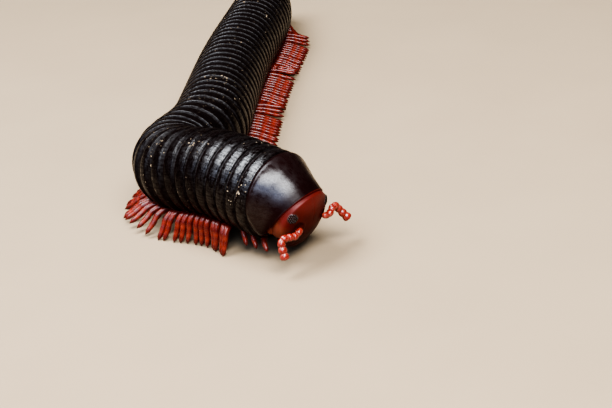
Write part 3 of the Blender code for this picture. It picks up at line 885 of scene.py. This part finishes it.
# each soft step below has the place where it starts and the length that it takes
aside = np.abs(left)
dark = bell(np.hypot(low - EYE_DOWN, aside - EYE_OUT), DARK_REACH) * DARK_ROUND_EYE
dark += DARK_OUT_ON_FACE * smooth((depth - 0.5) / 1.9)
dark += DARK_DOWN_FACE * smooth((low - 3.0) / 3.0)
laid(head, face_places(depth, low, left), dark)
cheek = smooth((aside - 2.05) / 0.8) * smooth((low - 2.8) / 0.9) * smooth((2.0 - depth) / 0.8)
keep(head, "cheek", cheek)
print("darkest place:", round(dark.max(), 2))

# %% Material of the head
CHEEK_ORANGE = "#5C291B"
HEAD_NOISES = ((EVEN, 0.8, 4.0), (EVEN, 5.0, 4.0))
HEAD_SCATTER = (0.1, (1.0, 0.25, 0.15), 0.0005)


def head_cuticle(name, bright, dark, gloss):
    """Clear red-brown chitin: bright at the brow, orange at the cheeks, dark at the mouth."""
    material, shader, place, down_face = new_chitin(name)
    cheek = add_node(material, "Attribute", output="Fac", attribute_name="cheek")
    clouds, grain = noises(material, place, HEAD_NOISES)
    dark_parts = ((down_face, 0.0, 1.0), (clouds, 0.3, 0.7, -0.15, 0.15))
    darker = layered(material, dark_parts, 0.0, "ADD")
    colour = srgb(bright)
    for cover, paint in ((darker, dark), (cheek, CHEEK_ORANGE)):
        colour = add_node(material, "Mix", {0: cover, 6: colour, 7: srgb(paint)}, **COLOUR)
    rough = layered(material, ((grain, 0.3, 0.7, -0.05, 0.06),), gloss, "ADD")
    polish = layered(material, ((down_face, 0.05, 0.7, 0.15, 0.06),))
    set_chitin(material, shader, colour, rough, (grain, 0.25, 0.00002), polish, HEAD_SCATTER)
    return material


HEAD_CHITIN = head_cuticle("red_brown_head_chitin", "#4E1611", "#370E08", 0.48)
finished(head, HEAD_CHITIN, ["head"])

# %% [markdown]
# ## Cheeks and under lip
# At each side of the head the base of the jaw bulges as an orange-red lobe, with a smaller one
# behind it, and below the mouth lies the plate of the under lip. Each starts as a ball, is
# flattened by a resize in edit mode, and is sunk in the head so that only its swelling shows.

# %% Lobes, each with its middle and half sizes out of the face, down it and to the side
LOBE_SEGMENTS, LOBE_RINGS = 48, 24
STIPES = ((0.6, 4.2, 2.95), (1.15, 1.6, 0.86))
CARDO = ((-0.1, 5.3, 3.15), (0.75, 0.7, 0.7))
UNDER_LIP = ((1.25, 6.72, 0.0), (1.35, 0.55, 2.3))


def lobe(name, middle, half, orange, side=1.0):
    """A ball flattened to its half sizes, at its middle."""
    obj = added(name, "ball", segments=LOBE_SEGMENTS, ring_count=LOBE_RINGS)
    with edit_mode(obj):
        bpy.ops.transform.resize(value=half, center_override=(0.0, 0.0, 0.0))
        bpy.ops.transform.translate(value=(middle[0], middle[1], middle[2] * side))
    ball = coordinates(obj)
    laid(obj, face_places(*ball.T), smooth((ball[:, 1] - 3.0) / 4.0))
    keep(obj, "cheek", np.full(len(ball), orange))
    return obj


SIDES = ((-1.0, "right"), (1.0, "left"))
for side, word in SIDES:
    lobes = [lobe("lobe", *place_and_size, 1.0, side) for place_and_size in (STIPES, CARDO)]
    finished(joined(f"jaw_base_{word}", lobes), HEAD_CHITIN)
finished(lobe("under_lip", *UNDER_LIP, 0.0), HEAD_CHITIN)

# %% [markdown]
# ## The eyes
# Each eye is a patch of some forty small round lenses in rows on a low dome. The dome is a disc
# laid on the head: each of its points is sent straight in until it meets the head, and raised a
# little there, as a Shrinkwrap would do. One lens is a small ball, and its copies are set on the
# head in a six-sided lattice, half sunk. A lens is clear chitin over black pigment, so it looks
# like a wet black bead, and the bed between the lenses is brown and duller.

# %% Numbers and material of the eyes
EYE_PLACE, EYE_FACES = (4.86, 2.88, 0.05), (0.62, 0.76, 0.1)
EYE_HALF_WIDTH, EYE_HALF_HEIGHT = 0.72, 0.7
EYE_RISE, EYE_EDGE_SUNK, EYE_EDGE_WIDTH, EYE_THICK = 0.07, 0.03, 0.12, 0.08
LENS_SPACING, LENS_RADIUS, LENS_LIFT = 0.24, 0.112, 0.6
LENS_ROWS, LENS_REACH = range(-4, 5), 0.88


def eye_material(name, dark, pale, gloss):
    material, shader = new_material(name)
    place = add_node(material, "Attribute", output="Vector", attribute_name="straight")
    clouds = noises(material, place, ((EVEN, 6.0, 2.0),))[0]
    tone = layered(material, ((clouds, 0.3, 0.7),))
    colour = add_node(material, "Mix", {0: tone, 6: srgb(dark), 7: srgb(pale)}, **COLOUR)
    fill(shader, {"Base Color": colour, "Roughness": gloss, "Specular IOR Level": 0.3})
    return material


LENS_BLACK = eye_material("black_eye_lens", "#030202", "#0A0505", 0.22)
EYE_BED = eye_material("brown_eye_bed", "#2A0E0A", "#44201A", 0.4)

# %% Places on the head
SENT_FROM = 3.0


def eye_view(side):
    """Middle of an eye and its directions out, across and up, in the frame's own metres."""
    middle = np.array((-EYE_PLACE[0], -side * EYE_PLACE[1], EYE_PLACE[2]))
    out = unit(np.array((-EYE_FACES[0], -side * EYE_FACES[1], EYE_FACES[2])))
    across = unit(np.cross((0.0, 0.0, 1.0), out))
    ends = lay(np.array([middle, middle + out, middle + across, middle + np.cross(out, across)]))
    return ends[0], [unit(end - ends[0]) for end in ends[1:]]


def on_head(middle, axes, a, b):
    """Where the line through an eye's place (a, b) meets the head, and the head's normal there."""
    out, across, above = axes
    start = middle + (out * SENT_FROM + across * a + above * b) * MM
    place, normal = head.ray_cast(Vector(start), Vector(-out))[1:3]
    return np.array(place), np.array(normal)


# %% The bed of an eye
DISC_SIDES, DISC_CUTS = 40, 5


def eye_bed(name, middle, axes):
    """A disc laid on the head, a little domed, with a wall."""
    bed = added(name, "circle", vertices=DISC_SIDES, fill_type="TRIFAN")
    with edit_mode(bed):
        bpy.ops.mesh.subdivide(number_cuts=DISC_CUTS)
    flat = coordinates(bed)
    places = []
    for x, y, _ in flat:
        place, normal = on_head(middle, axes, x * EYE_HALF_WIDTH, y * EYE_HALF_HEIGHT)
        rise = EYE_RISE * (1.0 - x * x - y * y)
        rise -= EYE_EDGE_SUNK * bell(1.0 - math.hypot(x, y), EYE_EDGE_WIDTH)
        places.append(place + normal * rise * MM)
    move_to(bed, np.array(places))
    keep(bed, "straight", flat * EYE_HALF_WIDTH)
    wall = bed.modifiers.new("wall", "SOLIDIFY")
    wall.thickness = EYE_THICK * MM
    wall.offset = 1.0 if Vector(axes[0]).dot(bed.data.polygons[0].normal) < 0.0 else -1.0
    bpy.ops.object.modifier_apply(modifier=wall.name)
    return bed


# %% The lenses, and both eyes
LENS_SIDES, LENS_RINGS = 12, 8
ball = added("ball", "ball", segments=LENS_SIDES, ring_count=LENS_RINGS, radius=LENS_RADIUS)
BALL = coordinates(ball)


def eye_lenses(middle, axes):
    """Copies of the ball on the head in a six-sided lattice."""
    lenses = []
    for row in LENS_ROWS:
        for column in LENS_ROWS:
            a = (column + 0.5 * (row % 2)) * LENS_SPACING
            b = row * LENS_SPACING * math.sqrt(0.75)
            far = math.hypot(a / EYE_HALF_WIDTH, b / EYE_HALF_HEIGHT)
            if far > LENS_REACH:
                continue
            place, normal = on_head(middle, axes, a, b)
            lens = copied(ball)
            lift = EYE_RISE * (1.0 - far * far) * LENS_LIFT
            move_to(lens, place + (BALL + normal * lift) * MM)
            keep(lens, "straight", BALL + np.array((a, b, 0.0)))
            lenses.append(lens)
    print("lenses:", len(lenses))
    return lenses


for side, word in SIDES:
    middle, axes = eye_view(side)
    finished(eye_bed(f"eye_bed_{word}", middle, axes), EYE_BED, [f"eye_{word}"])
    lenses = joined(f"eye_lenses_{word}", eye_lenses(middle, axes))
    finished(lenses, LENS_BLACK, sharp=80.0)
bpy.data.objects.remove(ball)

# %% [markdown]
# ## The feelers
# A feeler has seven joints like beads, each narrow where it starts and full near its end, and
# four tiny cones at the tip. One joint is turned from its profile, and copies grow in size along
# the bent feeler to the largest at its end.

# %% Routes of the feelers as (forward, out, up), and one joint
FEELER_NEAR = (
    (5.33, 2.0, -1.5), (5.3, 2.9, -1.95), (5.2, 3.9, -1.75),
    (4.95, 4.65, -1.8), (5.05, 4.95, -2.4), (5.75, 5.1, -3.9),
)
FEELER_FAR = (
    (5.33, 2.0, -1.5), (5.4, 2.9, -1.6), (5.2, 3.7, -1.25),
    (5.1, 4.5, -1.35), (5.4, 5.0, -2.1), (6.2, 5.65, -3.15),
)
JOINT_PROFILE = (
    (0, 0), (0, 0.58), (0.05, 0.69), (0.15, 0.78), (0.32, 0.89), (0.5, 0.97), (0.68, 1),
    (0.82, 0.96), (0.91, 0.86), (0.97, 0.7), (1, 0.5), (1, 0),
)
JOINT_SHARES = (0.0, 0.14, 0.28, 0.42, 0.56, 0.70, 0.84, 0.985)
JOINT_RADII = (0.40, 0.44, 0.45, 0.46, 0.48, 0.52, 0.55)
JOINT_OVERLAP = 0.012
JOINT_STEPS = 24
CONE_COUNT, CONE_RADIUS, CONE_TAPER, CONE_OUT = 4, 0.06, 0.5, 0.15
DEEPEST_AT, PALER_TOWARDS_ENDS, PALE_MOST = 0.6, 1.4, 0.7
FEELER_LINE_POINTS = 90
UPWARDS = np.array((0.0, 0.0, 1.0))
bead = spun("bead", JOINT_PROFILE, JOINT_STEPS)
BEAD_SHARE, BEAD_RIGHT, BEAD_UP = coordinates(bead).T
print("one joint:", len(bead.data.polygons), "faces")

# %% Set the joints and cones along each feeler
paler = np.abs(BEAD_SHARE - DEEPEST_AT) * PALER_TOWARDS_ENDS
joint_tone = np.clip(paler, 0, 1) * PALE_MOST
for (side, word), route in zip(SIDES, (FEELER_NEAR, FEELER_FAR)):
    knots = np.array([(-forward, -side * out, up) for forward, out, up in route])
    line, length = flowing(knots, FEELER_LINE_POINTS)
    beads = []
    for number, radius in enumerate(JOINT_RADII):
        start, end = JOINT_SHARES[number] - JOINT_OVERLAP, JOINT_SHARES[number + 1]
        shares = start + (end - start) * BEAD_SHARE
        places = laid_along(line, UPWARDS, shares, BEAD_RIGHT * radius, BEAD_UP * radius)
        sunk = np.clip(-shares, 0.0, None)[:, None] * length
        places = places - unit(line[1] - line[0]) * sunk
        beads.append(laid(copied(bead), places, joint_tone))
    for cone in range(CONE_COUNT):
        around = (0.5 + cone) * 2.0 * math.pi / CONE_COUNT
        shares = JOINT_SHARES[-1] + BEAD_SHARE * (1.0 - JOINT_SHARES[-1])
        thin = CONE_RADIUS * (1.0 - CONE_TAPER * BEAD_SHARE)
        first = BEAD_RIGHT * thin + CONE_OUT * math.cos(around)
        second = BEAD_UP * thin + CONE_OUT * math.sin(around)
        places = laid_along(line, UPWARDS, shares, first, second)
        beads.append(laid(copied(bead), places, np.ones(len(shares))))
    finished(joined(f"feeler_{word}", beads), FEELER_CHITIN, [f"antenna_{word}"])
bpy.data.objects.remove(bead)

# %% [markdown]
# ## The tail end
# The last ring carries no legs and narrows to a blunt hood over two valves that close like
# shutters. The ring is turned from its profile; the valves are half balls with a rolled edge
# where they meet, in the head's chitin, darker and glossier.

# %% The tail ring
TAIL_STEPS = 96
TAIL_SHARE_START, TAIL_SHARE_LENGTH, TAIL_SHARE_END = 0.5, 6.0, 0.88
TAIL_PROFILE = (
    (-0.2, 0.93), (0, 0.955), (0.15, 0.985), (0.4, 0.985), (0.8, 0.955), (1.3, 0.885),
    (1.8, 0.79), (2.3, 0.68), (2.55, 0.61), (2.62, 0.57), (2.55, 0.53), (2.2, 0.5), (1.2, 0.5),
    (-0.15, 0.88),
)
tail_radius = float(body_radius(TRUNK_END))
tail = spun("tail_ring", TAIL_PROFILE, TAIL_STEPS)
back, right, up = coordinates(tail).T
right, up = right * tail_radius, belly_flat(right, up) * tail_radius
share = np.clip(TAIL_SHARE_START + back / TAIL_SHARE_LENGTH, 0.0, TAIL_SHARE_END)
laid(tail, np.stack((back + TRUNK_END, right, up), 1), share)
finished(tail, SHELL, ["telson"], sharp=60.0)

# %% The two valves
VALVE_START, VALVE_LENGTH, VALVE_RADIUS = 2.05, 2.05, 0.525
VALVE_GAP, VALVE_LIP, VALVE_LIP_WIDTH = 0.04, 0.12, 0.12
VALVE_SEGMENTS, VALVE_RINGS = 48, 32
VALVE_CHITIN = head_cuticle("dark_red_valve_chitin", "#4A140E", "#2A0C09", 0.3)
for side, word in SIDES:
    name = f"tail_valve_{word}"
    valve = added(name, "ball", segments=VALVE_SEGMENTS, ring_count=VALVE_RINGS)
    cut, way = (0, -side * VALVE_GAP, 0), (0, side, 0)
    with edit_mode(valve):
        bpy.ops.mesh.bisect(plane_co=cut, plane_no=way, use_fill=True, clear_outer=True)
    back, right, up = coordinates(valve).T
    lip = VALVE_LIP * bell(right + side * VALVE_GAP, VALVE_LIP_WIDTH) * np.clip(back, 0, 1)
    along = TRUNK_END + VALVE_START + back * VALVE_LENGTH + lip
    half = tail_radius * VALVE_RADIUS
    laid(valve, np.stack((along, right * half, up * half), 1), smooth(0.5 - up / 2.0))
    finished(valve, VALVE_CHITIN, [f"valve_{word}"], sharp=40.0)

# %% [markdown]
# ## Floor and light
# A plain pale floor and four soft lights, as in a small studio. On black lacquer the eye sees the
# lights themselves, so each one is a panel set where its mirror image has to lie. The key, in
# front and above, is the broad pale patch on the hood. The veil, lower and bluish, cools the
# patch's lower end. The top light draws the bands along the rings, turned to follow the body,
# and the side light carries them down the flank. A look of higher contrast keeps the blacks deep.

# %% Floor
FLOOR_SIZE = 4.0
FLOOR_DARK, FLOOR_PALE, FLOOR_MOTTLE = "#786751", "#7F6E57", 60.0
floor = added("floor", "plane", size=FLOOR_SIZE)
floor_paint, floor_shader = new_material("pale_matt_floor")
floor_place = add_node(floor_paint, "TexCoord", output="Object")
mottle = {"Vector": floor_place, "Scale": FLOOR_MOTTLE, "Detail": 4.0}
tones = {0: add_node(floor_paint, "TexNoise", mottle), 6: srgb(FLOOR_DARK), 7: srgb(FLOOR_PALE)}
floor_colour = add_node(floor_paint, "Mix", tones, **COLOUR)
fill(floor_shader, {"Base Color": floor_colour, "Roughness": 0.8})
floor.data.materials.append(floor_paint)

# %% Lights, in metres and watts: way, distance, panel, turn, power and tint
TARGET = Vector((0.004, -0.045, 0.007))
LIGHTS = (
    ("key", (0.165, -0.565, 0.80), 0.36, (0.225, 0.17), 0.0, 3.9, "#FBFDFF"),
    ("veil", (-0.098, -0.825, 0.565), 0.38, (0.19, 0.20), 0.0, 1.15, "#C8DCFF"),
    ("side", (-0.78, -0.27, 0.55), 0.40, (0.17, 0.17), 0.0, 0.6, "#D8E6FF"),
    ("top", (-0.432, 0.144, 0.89), 0.363, (0.28, 0.17), -26.0, 4.3, "#F4F9FF"),
)
for name, way, distance, (wide, high), turned, power, tint in LIGHTS:
    data = bpy.data.lights.new(name, "AREA")
    data.shape = "RECTANGLE"
    data.size, data.size_y = wide, high
    data.energy = power
    data.color = srgb(tint)[:3]
    lamp = bpy.data.objects.new(name, data)
    lamp.location = TARGET + Vector(way).normalized() * distance
    lamp.rotation_mode = "QUATERNION"
    aimed = (TARGET - lamp.location).to_track_quat("-Z", "Y")
    lamp.rotation_quaternion = aimed @ Quaternion((0.0, 0.0, 1.0), math.radians(turned))
    bpy.context.scene.collection.objects.link(lamp)
world = bpy.data.worlds.new("soft_room")
world.use_nodes = True
background = world.node_tree.nodes["Background"]
fill(background, {"Color": srgb("#D9D4CC"), "Strength": 0.12})
bpy.context.scene.world = world
bpy.context.scene.view_settings.look = "AgX - High Contrast"
print("lights:", len(LIGHTS))
